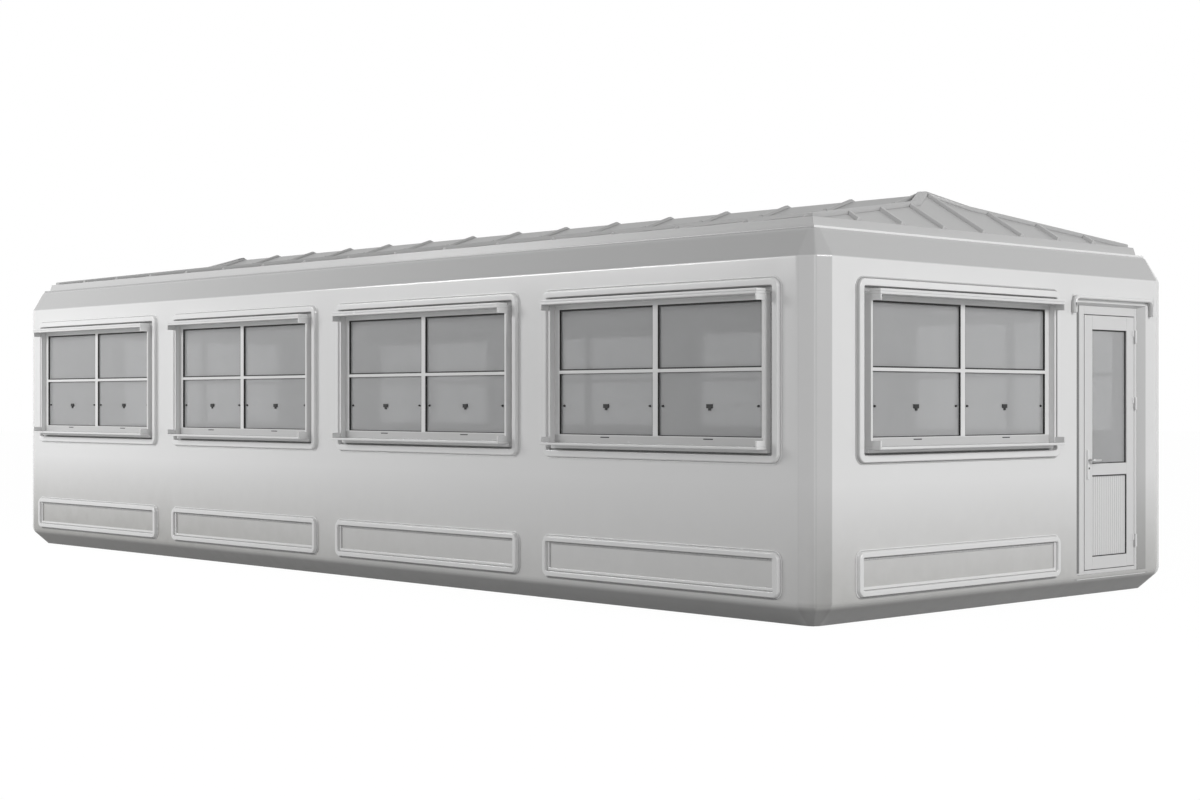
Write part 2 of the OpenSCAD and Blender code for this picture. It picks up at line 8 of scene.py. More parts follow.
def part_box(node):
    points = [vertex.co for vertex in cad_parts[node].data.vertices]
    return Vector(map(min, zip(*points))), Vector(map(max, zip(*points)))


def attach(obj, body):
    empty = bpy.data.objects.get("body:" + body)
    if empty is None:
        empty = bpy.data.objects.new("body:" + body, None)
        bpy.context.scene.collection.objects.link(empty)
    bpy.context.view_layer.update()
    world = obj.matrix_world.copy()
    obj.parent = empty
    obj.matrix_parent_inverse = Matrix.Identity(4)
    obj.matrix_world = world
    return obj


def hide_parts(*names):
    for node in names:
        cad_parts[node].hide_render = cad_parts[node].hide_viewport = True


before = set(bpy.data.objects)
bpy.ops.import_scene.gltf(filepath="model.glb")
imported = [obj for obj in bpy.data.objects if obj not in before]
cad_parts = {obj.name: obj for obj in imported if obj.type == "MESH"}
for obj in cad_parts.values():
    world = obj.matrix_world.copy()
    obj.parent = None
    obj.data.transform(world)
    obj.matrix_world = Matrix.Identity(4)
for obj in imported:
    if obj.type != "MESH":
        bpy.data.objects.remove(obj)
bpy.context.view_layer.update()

# Moulded shell. Base, walls, faceted corners and cornice are one glass-fibre moulding, laid up in a
# mould with soft bends and a gel-coat face, then turned in at the top and lined. The window and
# door openings are cut out of it afterwards.
half_l = 4.95
half_w = 1.95
corner_r = 0.15
wall_t = 0.06
base_h = 0.125
foot_in = 0.134
foot_turn_r = 0.05
wall_h = 2.22
shoulder_z = 2.38
shoulder_in = 0.096
eave_z = 2.393
sill_z = 1.06
head_z = 2.016
window_half = 0.98
opening_half = window_half + 0.038
opening_rise = 0.033
long_window_row = (-3.6, -1.2, 1.2, 3.6)
end_window_at = -0.5125
door_u0 = 0.84
door_u1 = 1.60
reveal_w = 0.065
facet_split = half_l - half_w


def add_node(tree, kind, inputs=None, **settings):
    node = tree.nodes.new("ShaderNode" + kind)
    for key, value in settings.items():
        setattr(node, key, value)
    for key, value in (inputs or {}).items():
        if isinstance(value, bpy.types.NodeSocket):
            tree.links.new(value, node.inputs[key])
        else:
            node.inputs[key].default_value = value
    return node


def new_group(name, inputs, outputs):
    group = bpy.data.node_groups.new(name, "ShaderNodeTree")
    for label, kind, value in inputs:
        socket = group.interface.new_socket(label, in_out="INPUT", socket_type=kind)
        socket.default_value = value
    for label, kind in outputs:
        group.interface.new_socket(label, in_out="OUTPUT", socket_type=kind)
    return group, group.nodes.new("NodeGroupInput").outputs, group.nodes.new("NodeGroupOutput").inputs


# Gel-coat effect: cloudy tone from the lay-up, orange peel in the face, and a darkening towards the ground,
# most on the ends and towards the -X end of the long walls, partly dust and partly painted shade. Painted
# shade greys the base, which is also duller, the cornice, the corner facets, the mouth of the doorway and the
# flanks of the end beads, and a painted shadow lies under the low beads.
gel_coat, given, gives = new_group(
    "gel_coat",
    [
        ("Colour", "NodeSocketColor", (0.7, 0.7, 0.7, 1)),
        ("Cloud", "NodeSocketFloat", 0.06),
        ("Dust And Shade", "NodeSocketFloat", 0.1),
        ("Base Painted Shade", "NodeSocketFloat", 0.0),
        ("Cornice Painted Shade", "NodeSocketFloat", 0.0),
        ("Side Painted Shade", "NodeSocketFloat", 0.0),
        ("Flank Painted Shade", "NodeSocketFloat", 0.0),
        ("Roughness", "NodeSocketFloat", 0.3),
        ("Peel Scale", "NodeSocketFloat", 90.0),
    ],
    [
        ("Colour", "NodeSocketColor"),
        ("Roughness", "NodeSocketFloat"),
        ("Gloss", "NodeSocketFloat"),
        ("Height", "NodeSocketFloat"),
    ],
)
place = add_node(gel_coat, "TexCoord").outputs["Object"]
cloud = add_node(gel_coat, "TexNoise", {"Vector": place, "Scale": 1.3, "Detail": 4.0})
speck = add_node(gel_coat, "TexNoise", {"Vector": place, "Scale": 9.0, "Detail": 6.0})
peel = add_node(gel_coat, "TexNoise", {"Vector": place, "Scale": given["Peel Scale"], "Detail": 2.0})
axes = add_node(gel_coat, "SeparateXYZ", {"Vector": place}).outputs
height_z = axes["Z"]
along = add_node(gel_coat, "Math", {0: axes["X"]}, operation="ABSOLUTE").outputs[0]
across = add_node(gel_coat, "Math", {0: axes["Y"]}, operation="ABSOLUTE").outputs[0]


def graded(value, start, end, low=0.0, high=1.0):
    return add_node(
        gel_coat, "MapRange",
        {"Value": value, "From Min": start, "From Max": end, "To Min": low, "To Max": high},
        interpolation_type="SMOOTHSTEP",
    ).outputs["Result"]


def times(first, second):
    return add_node(gel_coat, "Math", {0: first, 1: second}, operation="MULTIPLY").outputs[0]


# Dust and painted shade: darker towards the ground, most on the ends and towards the -X end of the long walls.
near_ground = add_node(
    gel_coat, "MapRange",
    {"Value": height_z, "From Min": 0.0, "From Max": 0.85, "To Min": 1.0, "To Max": 0.0},
)
flecks = add_node(gel_coat, "MapRange", {"Value": speck.outputs["Fac"], "To Min": 0.85, "To Max": 1.15})
low_flecks = times(near_ground.outputs["Result"], flecks.outputs["Result"])
on_long = graded(axes["X"], long_window_row[0], long_window_row[-1], 1.7, 0.75)
dust_and_shade = times(times(low_flecks, graded(along, half_l - 0.1, half_l - 0.01, on_long, 1.2)), given["Dust And Shade"])
shade = add_node(gel_coat, "Math", {0: cloud.outputs["Fac"], 1: given["Cloud"]}, operation="MULTIPLY")
mottle_dust_and_shade = add_node(gel_coat, "Math", {0: shade.outputs[0], 1: dust_and_shade}, operation="ADD")
tone = add_node(
    gel_coat, "Mix",
    {"Factor": mottle_dust_and_shade.outputs[0], "A": given["Colour"], "B": (0.33, 0.325, 0.31, 1)},
    data_type="RGBA",
)
ahead = add_node(gel_coat, "Math", {0: along, 1: across}, operation="SUBTRACT").outputs[0]
beside = add_node(gel_coat, "Math", {0: ahead, 1: facet_split}, operation="SUBTRACT").outputs[0]
off_corner = add_node(gel_coat, "Math", {0: beside}, operation="ABSOLUTE").outputs[0]
# Painted shade on the downward-facing base and on the cornice.
painted_base_band = times(graded(height_z, base_h - 0.03, base_h + 0.02, 1.0, 0.0), given["Base Painted Shade"])
painted_base_shade = times(painted_base_band, graded(off_corner, foot_turn_r, corner_r, 0.86, 1.0))
painted_cornice_shade = times(graded(height_z, wall_h - 0.006, wall_h + 0.006), given["Cornice Painted Shade"])
corner_x = half_l - corner_r
corner_y = half_w - corner_r
# Painted shade on the corner facets, stronger on the facet beside the end wall, and in the mouth of the
# doorway.
facets = times(graded(along, corner_x, corner_x + 0.006), graded(across, corner_y, corner_y + 0.006))
facet_painted_shade = times(facets, graded(ahead, facet_split - 0.005, facet_split + 0.005, 0.4, 1.25))
mouth_back = graded(axes["X"], half_l - 0.05, half_l - 0.04)
mouth_front = graded(axes["X"], half_l - 0.006, half_l - 0.002, 1.0, 0.0)
mouth_u0 = door_u0 - reveal_w
mouth_u1 = door_u1 + reveal_w
mouth_left = graded(axes["Y"], mouth_u0 - 0.025, mouth_u0 - 0.015)
mouth_right = graded(axes["Y"], mouth_u1 + 0.015, mouth_u1 + 0.025, 1.0, 0.0)
mouth_painted_shade = times(times(times(mouth_back, mouth_front), times(mouth_left, mouth_right)), 1.4)
painted_sides = add_node(gel_coat, "Math", {0: facet_painted_shade, 1: mouth_painted_shade}, operation="MAXIMUM")
painted_side_shade = times(painted_sides.outputs[0], given["Side Painted Shade"])
# Painted shade on the flanks of the end beads, and a painted shadow under the low beads.
flank_foot = graded(along, half_l + 0.0005, half_l + 0.0025)
flank_top = graded(along, half_l + 0.017, half_l + 0.024, 1.0, 0.0)
flank_depth = times(flank_foot, flank_top)
flanks = times(flank_depth, graded(height_z, 0.7, 0.75))
painted_under_bead_shadow = graded(height_z, 0.16, 0.17, 2.0, 0.0)
beads = add_node(gel_coat, "Math", {0: flanks, 1: painted_under_bead_shadow}, operation="MAXIMUM")
painted_flank_shade = times(beads.outputs[0], given["Flank Painted Shade"])
levels = add_node(gel_coat, "Math", {0: painted_base_shade, 1: painted_cornice_shade}, operation="ADD")
edges = add_node(gel_coat, "Math", {0: painted_side_shade, 1: painted_flank_shade}, operation="ADD")
# The painted shade mixes the tone towards this dark grey.
painted_shade = add_node(gel_coat, "Math", {0: levels.outputs[0], 1: edges.outputs[0]}, operation="MAXIMUM")
shaded = add_node(
    gel_coat, "Mix",
    {"Factor": painted_shade.outputs[0], "A": tone.outputs["Result"], "B": (0.05, 0.05, 0.05, 1)},
    data_type="RGBA",
)
gel_coat.links.new(shaded.outputs["Result"], gives["Colour"])
rub = add_node(gel_coat, "MapRange", {"Value": speck.outputs["Fac"], "To Min": -0.03, "To Max": 0.03})
rough = add_node(gel_coat, "Math", {0: given["Roughness"], 1: rub.outputs["Result"]}, operation="ADD")
dulled = add_node(gel_coat, "Math", {0: rough.outputs[0], 1: times(painted_base_shade, 0.6)}, operation="ADD")
gel_coat.links.new(dulled.outputs[0], gives["Roughness"])
gel_coat.links.new(graded(painted_base_shade, 0.0, 1.0, 1.0, 0.2), gives["Gloss"])
gel_coat.links.new(peel.outputs["Fac"], gives["Height"])


def coated(
    name, colour, roughness, cloud_share, dust_and_shade_share, peel_scale, bump, coat, painted_shades=(0.0, 0.0, 0.0, 0.0)
):
    material = bpy.data.materials.new(name)
    material.use_nodes = True
    tree = material.node_tree
    shader = tree.nodes["Principled BSDF"]
    face = tree.nodes.new("ShaderNodeGroup")
    face.node_tree = gel_coat
    face.inputs["Colour"].default_value = (*colour, 1)
    face.inputs["Cloud"].default_value = cloud_share
    face.inputs["Dust And Shade"].default_value = dust_and_shade_share
    # Painted shade strengths, in order: base, cornice, sides, flanks.
    for label, value in zip(("Base Painted Shade", "Cornice Painted Shade", "Side Painted Shade", "Flank Painted Shade"), painted_shades):
        face.inputs[label].default_value = value
    face.inputs["Roughness"].default_value = roughness
    face.inputs["Peel Scale"].default_value = peel_scale
    tree.links.new(face.outputs["Colour"], shader.inputs["Base Color"])
    tree.links.new(face.outputs["Roughness"], shader.inputs["Roughness"])
    relief = add_node(tree, "Bump", {"Height": face.outputs["Height"], "Strength": bump, "Distance": 0.001})
    tree.links.new(relief.outputs["Normal"], shader.inputs["Normal"])
    lacquer = add_node(tree, "Math", {0: face.outputs["Gloss"], 1: coat}, operation="MULTIPLY")
    tree.links.new(lacquer.outputs[0], shader.inputs["Coat Weight"])
    shader.inputs["Coat Roughness"].default_value = 0.12
    return material


def finish_piece(name, bm, material, body="cabin", crease=35):
    bmesh.ops.remove_doubles(bm, verts=bm.verts, dist=0.00002)
    bmesh.ops.recalc_face_normals(bm, faces=bm.faces)
    mesh = bpy.data.meshes.new(name)
    bm.to_mesh(mesh)
    bm.free()
    mesh.shade_smooth()
    mesh.set_sharp_from_angle(angle=math.radians(crease))
    mesh.materials.append(material)
    piece = bpy.data.objects.new(name, mesh)
    bpy.context.scene.collection.objects.link(piece)
    even = piece.modifiers.new("even_shading", "WEIGHTED_NORMAL")
    even.keep_sharp = True
    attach(piece, body)
    return piece


def cut_across(bm, faces, point, normal):
    edges = dict.fromkeys(edge for face in faces for edge in face.edges)
    verts = dict.fromkeys(vert for face in faces for vert in face.verts)
    bmesh.ops.bisect_plane(
        bm, geom=[*faces, *edges, *verts], plane_co=point, plane_no=normal, dist=0.00001
    )


# The shell carries painted shade on its base, cornice, corner facets and doorway mouth.
shell_white = coated(
    "shell_gel_coat", (0.76, 0.76, 0.76), 0.22, 0.05, 0.67, 140.0, 0.06, 0.35, painted_shades=(0.63, 0.43, 0.235, 0.0)
)
# The beads carry painted shade on their end flanks and a painted shadow under the low ones.
bead_white = coated(
    "bead_gel_coat", (0.78, 0.78, 0.78), 0.22, 0.05, 0.12, 140.0, 0.06, 0.35, painted_shades=(0.0, 0.0, 0.0, 0.38)
)
arris_r = 0.014
shell = bmesh.new()
bmesh.ops.create_grid(shell, x_segments=1, y_segments=1, size=1)
bmesh.ops.scale(shell, vec=(half_l, half_w, 1), verts=shell.verts)
bmesh.ops.bevel(
    shell, geom=shell.verts[:], offset=corner_r, segments=2, profile=0.5, affect="VERTICES", material=-1
)
bmesh.ops.bevel(
    shell, geom=shell.verts[:], offset=arris_r, segments=3, profile=0.5, affect="VERTICES", material=-1
)
plan_verts = shell.verts[:]


def to_level(verts, plan, z, inset, turn_r):
    for vert, start in zip(verts, plan):
        side = Vector((math.copysign(1, start.x), math.copysign(1, start.y), 0))
        centre = Vector((corner_x, corner_y, 0)) * side
        drawn_in = Vector((corner_r - inset - turn_r, corner_r - inset - turn_r, 0)) * side
        vert.co = centre + drawn_in + (start - centre) * (turn_r / corner_r)
        vert.co.z = z


plan = [vert.co.copy() for vert in plan_verts]
to_level(plan_verts, plan, 0, foot_in, foot_turn_r)
underside = shell.faces[:]
level_face = underside
# Up the outside to the shoulder, in under the eave, then down the inside to the floor.
for z, inset in (
    (base_h, 0), (wall_h, 0), (shoulder_z, shoulder_in), (eave_z, 0.11), (eave_z, 0.149),
    (wall_h, wall_t), (base_h, wall_t),
):
    raised = bmesh.ops.extrude_face_region(shell, geom=level_face)
    risen = [item for item in raised["geom"] if isinstance(item, bmesh.types.BMVert)]
    if level_face != underside:
        bmesh.ops.delete(shell, geom=level_face, context="FACES_ONLY")
    level_face = [item for item in raised["geom"] if isinstance(item, bmesh.types.BMFace)]
    order = []
    for vert in plan_verts:
        order.append(min(risen, key=lambda new: (new.co - vert.co).length))
    to_level(order, plan, z, inset, corner_r - inset)
    plan_verts = order
bmesh.ops.recalc_face_normals(shell, faces=shell.faces)


def bend(bm, z, inset, radius, segments):
    bent_edges = []
    for edge in bm.edges:
        on_bend = len(edge.link_faces) == 2
        for vert in edge.verts:
            beside_end = abs(abs(vert.co.x) - half_l + inset) < 0.05
            beside_long = abs(abs(vert.co.y) - half_w + inset) < 0.05
            on_bend = on_bend and abs(vert.co.z - z) < 0.0001 and (beside_end or beside_long)
        if on_bend:
            bent_edges.append(edge)
    bmesh.ops.bevel(
        bm, geom=bent_edges, offset=radius, segments=segments, profile=0.5, affect="EDGES", material=-1
    )


bend(shell, base_h, 0, 0.03, 6)
bend(shell, wall_h, 0, 0.008, 3)
bend(shell, shoulder_z, shoulder_in, 0.006, 3)


def facing(bm, axis):
    return [face for face in bm.faces if abs(face.normal[axis]) > 0.999]


def opening_faces(bm, axis, outer, along0, along1, z0, z1):
    found = []
    for face in bm.faces:
        middle = face.calc_center_median()
        deep = abs(middle[axis]) > abs(outer) - wall_t - 0.03 and middle[axis] * outer > 0
        if deep and along0 < middle[1 - axis] < along1 and z0 < middle.z < z1:
            found.append(face)
    return found


for at in long_window_row:
    for side in (-opening_half, opening_half):
        cut_across(shell, facing(shell, 1), (at + side, 0, 0), (1, 0, 0))
for at in (-opening_half, opening_half, end_window_at - opening_half, end_window_at + opening_half):
    cut_across(shell, facing(shell, 0), (0, at, 0), (0, 1, 0))
for z in (sill_z - opening_rise, head_z + opening_rise):
    cut_across(shell, facing(shell, 0) + facing(shell, 1), (0, 0, z), (0, 0, 1))

openings = []
for at in long_window_row:
    for outer in (-half_w, half_w):
        openings.append((1, outer, at - opening_half, at + opening_half))
openings.append((0, -half_l, -opening_half, opening_half))
openings.append((0, half_l, end_window_at - opening_half, end_window_at + opening_half))
for axis, outer, along0, along1 in openings:
    gone = opening_faces(shell, axis, outer, along0, along1, sill_z - opening_rise, head_z + opening_rise)
    bmesh.ops.delete(shell, geom=gone, context="FACES")
    rims = []
    for edge in shell.edges:
        if len(edge.link_faces) == 1:
            middle = (edge.verts[0].co + edge.verts[1].co) / 2
            if along0 - 0.01 < middle[1 - axis] < along1 + 0.01 and middle[axis] * outer > half_w:
                rims.append(edge)
    bmesh.ops.bridge_loops(shell, edges=rims)

# The doorway is wider outside than in: its mouth narrows over 40 mm to the door frame.
mouth_depth = 0.04
mouth_top = head_z + 0.018


def door_side(low_x, high_x):
    kept = []
    for face in shell.faces:
        middle = face.calc_center_median()
        if low_x < middle.x < high_x and middle.y > end_window_at + opening_half and middle.z > 0.05:
            kept.append(face)
    return kept


for y in (mouth_u0, mouth_u1):
    cut_across(shell, door_side(half_l - 0.03, half_l + 0.01), (0, y, 0), (0, 1, 0))
for z in (base_h, mouth_top):
    cut_across(shell, door_side(half_l - 0.03, half_l + 0.01), (0, 0, z), (0, 0, 1))
for y in (door_u0, door_u1):
    cut_across(shell, door_side(half_l - wall_t - 0.01, half_l - wall_t + 0.01), (0, y, 0), (0, 1, 0))
cut_across(shell, door_side(half_l - wall_t - 0.01, half_l - wall_t + 0.01), (0, 0, head_z), (0, 0, 1))
doorway = []
for face in shell.faces:
    middle = face.calc_center_median()
    outside = middle.x > half_l - 0.03 and mouth_u0 < middle.y < mouth_u1 and middle.z < mouth_top
    inside = abs(middle.x - half_l + wall_t) < 0.01 and door_u0 < middle.y < door_u1 and middle.z < head_z
    if middle.z > base_h and (outside or inside):
        doorway.append(face)
bmesh.ops.delete(shell, geom=doorway, context="FACES")
rim = [edge for edge in shell.edges if len(edge.link_faces) == 1 and edge.verts[0].co.x > half_l - 0.03]
drawn_in = bmesh.ops.extrude_edge_only(shell, edges=rim)["geom"]
for vert in [item for item in drawn_in if isinstance(item, bmesh.types.BMVert)]:
    vert.co.x = half_l - mouth_depth
    vert.co.y = door_u0 if vert.co.y < (door_u0 + door_u1) / 2 else door_u1
    vert.co.z = min(vert.co.z, head_z)
bmesh.ops.remove_doubles(shell, verts=shell.verts, dist=0.0001)
rims = [edge for edge in shell.edges if len(edge.link_faces) == 1]
bmesh.ops.bridge_loops(shell, edges=rims)
moulding = finish_piece("moulded_shell", shell, shell_white, crease=40)
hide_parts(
    "base_pan", "front_wall", "front_piers", "back_wall", "back_piers", "far_end_wall",
    "far_end_piers", "door_end_wall", "door_end_piers", "corner_posts", "cornice_long", "cornice_ends",
)

# Floor and ceiling. Sheet flooring with a fine fleck lies on the base, and the ceiling is lined with
# matt board.
def flecked(name, colour, fleck, scale, roughness):
    material = bpy.data.materials.new(name)
    material.use_nodes = True
    tree = material.node_tree
    shader = tree.nodes["Principled BSDF"]
    spot = add_node(tree, "TexCoord").outputs["Object"]
    grain = add_node(tree, "TexNoise", {"Vector": spot, "Scale": scale, "Detail": 3.0})
    ramp = add_node(tree, "ValToRGB", {"Fac": grain.outputs["Fac"]})
    ramp.color_ramp.elements[0].position = 0.38
    ramp.color_ramp.elements[0].color = (*fleck, 1)
    ramp.color_ramp.elements[1].position = 0.56
    ramp.color_ramp.elements[1].color = (*colour, 1)
    tree.links.new(ramp.outputs["Color"], shader.inputs["Base Color"])
    relief = add_node(tree, "Bump", {"Height": grain.outputs["Fac"], "Strength": 0.2, "Distance": 0.001})
    tree.links.new(relief.outputs["Normal"], shader.inputs["Normal"])
    shader.inputs["Roughness"].default_value = roughness
    return material


def dress(node, material, soft=0.0, segments=2):
    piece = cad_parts[node]
    piece.data.materials.clear()
    piece.data.materials.append(material)
    if soft:
        joined = piece.modifiers.new("joined", "WELD")
        joined.merge_threshold = 0.00002
        rounded = piece.modifiers.new("rounded", "BEVEL")
        rounded.width = soft
        rounded.segments = segments
        rounded.use_clamp_overlap = False
        rounded.limit_method = "ANGLE"
        rounded.angle_limit = math.radians(25)
        piece.modifiers.new("even_shading", "WEIGHTED_NORMAL")


dress("floor_deck", flecked("floor_sheet", (0.4, 0.4, 0.395), (0.3, 0.3, 0.3), 240.0, 0.6))
dress("ceiling", flecked("ceiling_lining", (0.7, 0.7, 0.7), (0.66, 0.66, 0.66), 60.0, 0.7))

# Roof. The long slopes, hip ends and ribs are moulded skins of the same glass-fibre, satin and a little
# weathered, with the hips, ribs and caps painted lighter than the slopes as painted light. Under them run a
# fascia and a thin white strip, each painted lighter on one side than the other: painted light and shade that
# differs between the ends and the long sides.
def repaint(material, share, first, second):
    tree = material.node_tree
    paint = add_node(
        tree, "Mix", {"Factor": share, "A": (*[first] * 3, 1), "B": (*[second] * 3, 1)}, data_type="RGBA"
    )
    face = next(node for node in tree.nodes if node.bl_idname == "ShaderNodeGroup")
    tree.links.new(paint.outputs["Result"], face.inputs["Colour"])


# Painted light and shade: one tone on the long sides, another on the ends.
def painted_side_tones(material, on_long, on_ends):
    tree = material.node_tree
    parts = add_node(tree, "SeparateXYZ", {"Vector": add_node(tree, "TexCoord").outputs["Object"]}).outputs
    along_x = add_node(tree, "Math", {0: parts["X"]}, operation="ABSOLUTE")
    across_y = add_node(tree, "Math", {0: parts["Y"]}, operation="ABSOLUTE")
    endward = add_node(tree, "Math", {0: along_x.outputs[0], 1: across_y.outputs[0]}, operation="SUBTRACT")
    end_share = add_node(
        tree, "MapRange",
        {"Value": endward.outputs[0], "From Min": facet_split - 0.005, "From Max": facet_split + 0.005},
    )
    repaint(material, end_share.outputs["Result"], on_long, on_ends)
    return material


slope_skin = coated("slope_skin", (0.335, 0.335, 0.335), 0.42, 0.12, 0.0, 70.0, 0.1, 0.1)
for node in ("roof_front", "roof_back"):
    dress(node, slope_skin)
# Painted light: the hips, ribs and caps are lighter copies of the slopes' skin.
dress("roof_hips", coated("hip_skin", (0.44, 0.44, 0.44), 0.42, 0.12, 0.0, 70.0, 0.1, 0.1))
fascia_skin = painted_side_tones(coated("fascia_skin", (0.5, 0.5, 0.5), 0.42, 0.1, 0.0, 70.0, 0.1, 0.1), 0.55, 0.5)
for node in ("fascia_long", "fascia_ends"):
    dress(node, fascia_skin)
dress("roof_ribs", coated("rib_skin", (0.39, 0.39, 0.39), 0.42, 0.1, 0.0, 70.0, 0.1, 0.1), 0.006)
dress("hip_ribs", coated("hip_rib_skin", (0.48, 0.48, 0.48), 0.42, 0.1, 0.0, 70.0, 0.1, 0.1), 0.006)
dress("hip_caps", coated("cap_skin", (0.42, 0.42, 0.42), 0.4, 0.08, 0.0, 70.0, 0.08, 0.1), 0.005)
profile_white = coated("white_profile", (0.75, 0.75, 0.75), 0.26, 0.03, 0.0, 220.0, 0.03, 0.2)
eave_white = coated("eave_profile", (0.75, 0.75, 0.75), 0.34, 0.03, 0.0, 220.0, 0.03, 0.1)
dress("eave_strip", painted_side_tones(eave_white, 0.45, 0.84), 0.003)

# Moulded beads. A raised ring stands round each window and round each low panel, moulded with the
# shell, with a soft sloped outer side and an inner step in the panels.
dress("window_surrounds", bead_white, 0.005, 3)
dress("panel_frames", bead_white, 0.005, 3)
window_places = [Matrix.Translation((at, -half_w, 0)) for at in long_window_row]
window_places += [Matrix.Rotation(math.pi, 4, "Z") @ spot for spot in window_places]
window_places.append(Matrix.Rotation(-math.pi / 2, 4, "Z") @ Matrix.Translation((0, -half_l, 0)))
window_places.append(Matrix.Rotation(math.pi / 2, 4, "Z") @ Matrix.Translation((end_window_at, -half_l, 0)))


def upright_sheet(u0, u1, z0, z1, y):
    bm = bmesh.new()
    bmesh.ops.create_grid(bm, x_segments=1, y_segments=1, size=0.5)
    turned = Matrix.Translation(((u0 + u1) / 2, y, (z0 + z1) / 2)) @ Matrix.Rotation(math.pi / 2, 4, "X")
    bmesh.ops.transform(bm, matrix=turned @ Matrix.Diagonal((u1 - u0, z1 - z0, 1, 1)), verts=bm.verts)
    return bm


def thicken(bm, depth):
    grown = bmesh.ops.extrude_face_region(bm, geom=bm.faces[:])["geom"]
    moved = [item for item in grown if isinstance(item, bmesh.types.BMVert)]
    bmesh.ops.translate(bm, vec=(0, depth, 0), verts=moved)
    bmesh.ops.recalc_face_normals(bm, faces=bm.faces)


def ring(u0, u1, z0, z1, left, right, foot, top, front, back):
    bm = upright_sheet(u0, u1, z0, z1, front)
    for u in (u0 + left, u1 - right):
        cut_across(bm, bm.faces[:], (u, 0, 0), (1, 0, 0))
    for z in (z0 + foot, z1 - top):
        cut_across(bm, bm.faces[:], (0, 0, z), (0, 0, 1))
    hole = [
        face for face in bm.faces
        if u0 + left < face.calc_center_median().x < u1 - right
        and z0 + foot < face.calc_center_median().z < z1 - top
    ]
    bmesh.ops.delete(bm, geom=hole, context="FACES")
    thicken(bm, back - front)
    return bm


def soften(bm, width, segments=2):
    sharp = [edge for edge in bm.edges if edge.is_manifold and edge.calc_face_angle() > 0.5]
    bmesh.ops.bevel(
        bm, geom=sharp, offset=width, segments=segments, profile=0.5, affect="EDGES", material=-1
    )


def put(target, source, matrix=None):
    mesh = bpy.data.meshes.new("part")
    source.to_mesh(mesh)
    if matrix is not None:
        mesh.transform(matrix)
    target.from_mesh(mesh)
    bpy.data.meshes.remove(mesh)


def at_each_window(parts):
    whole = bmesh.new()
    for part in parts:
        put(whole, part)
        part.free()
    everywhere = bmesh.new()
    for spot in window_places:
        put(everywhere, whole, spot)
    whole.free()
    return everywhere


lip_w = 0.008
bead_half = 1.071
window_bead = (0.974, 2.102, 0.063)
panel_bead = (0.164, 0.447, 0.054)
lips = []
for low, high, turn_r in (window_bead, panel_bead):
    lip = upright_sheet(-bead_half - lip_w, bead_half + lip_w, low - lip_w, high + lip_w, -0.005)
    bmesh.ops.bevel(
        lip, geom=lip.verts[:], offset=turn_r + lip_w, segments=8, profile=0.5, affect="VERTICES", material=-1
    )
    field = lip.faces[:]
    bmesh.ops.inset_region(lip, faces=field, thickness=lip_w, use_boundary=True, use_even_offset=True)
    bmesh.ops.delete(lip, geom=field, context="FACES")
    thicken(lip, 0.007)
    soften(lip, 0.0015)
    lips.append(lip)
finish_piece("bead_lips", at_each_window(lips), bead_white)

panel_half = 1.027
panel_low = 0.208
panel_high = 0.403
step_w = 0.02
step = ring(-panel_half, panel_half, panel_low, panel_high, step_w, step_w, step_w, 0.0, -0.011, 0.002)
soften(step, 0.005, 3)
finish_piece("panel_steps", at_each_window([step]), bead_white)

# Window casings. Jamb boards stand between a head tray and a sill tray of white extruded profile, with
# small cheeks closing the tray ends, a cap on the head and a drip strip under the sill.
for node in ("window_jambs", "window_heads", "window_sills", "tray_cheeks"):
    dress(node, profile_white, 0.0025)

cap = upright_sheet(-window_half, window_half, head_z, head_z + 0.018, -0.115)
thicken(cap, 0.085)
soften(cap, 0.004, 3)
finish_piece("head_caps", at_each_window([cap]), profile_white)
drip = upright_sheet(-window_half, window_half, sill_z - 0.023, sill_z + 0.002, -0.02)
thicken(drip, 0.031)
soften(drip, 0.004, 3)
finish_piece("sill_drips", at_each_window([drip]), profile_white)

# Joint filler. The casings stand in openings cut to the beads, and a dark grey foam strip, set back in
# the joint, closes the gap round each of them. A strip of the same foam under each panel's top bead is
# painted shade.
foam = flecked("joint_foam", (0.5, 0.5, 0.5), (0.4, 0.4, 0.4), 120.0, 0.85)
filler = ring(
    -opening_half, opening_half, sill_z - opening_rise, head_z + opening_rise,
    opening_half - window_half, opening_half - window_half, opening_rise, opening_rise, 0.01, 0.058,
)
soften(filler, 0.003)
# Painted shade: a grey foam strip under each panel's top bead.
fill_half = panel_half - step_w
bead_shade_strip = upright_sheet(-fill_half, fill_half, panel_high - 0.015, panel_high, -0.005)
thicken(bead_shade_strip, 0.007)
soften(bead_shade_strip, 0.002)
finish_piece("joint_filler", at_each_window([filler, bead_shade_strip]), foam)

# Sashes. White bars hold two by two panes in each window, outside and in, with a slim rail between the
# fixed upper panes and the lower ones. The bottom rail is painted darker, as painted shade in the tray.
jamb_cover = 0.018
tray_cover = 0.016
pane_half = 0.915
mullion_half = 0.023
pane_z = (1.131, 1.5365, 1.5585, 1.968)
glass_front = 0.016


def sash_bars(front, back):
    half = window_half - jamb_cover
    bm = upright_sheet(-half, half, sill_z + tray_cover, head_z - tray_cover, front)
    for u in (-pane_half, -mullion_half, mullion_half, pane_half):
        cut_across(bm, bm.faces[:], (u, 0, 0), (1, 0, 0))
    for z in pane_z:
        cut_across(bm, bm.faces[:], (0, 0, z), (0, 0, 1))
    panes = []
    for face in bm.faces:
        middle = face.calc_center_median()
        lit = mullion_half < abs(middle.x) < pane_half
        if lit and (pane_z[0] < middle.z < pane_z[1] or pane_z[2] < middle.z < pane_z[3]):
            panes.append(face)
    bmesh.ops.delete(bm, geom=panes, context="FACES")
    thicken(bm, back - front)
    soften(bm, 0.002)
    return bm


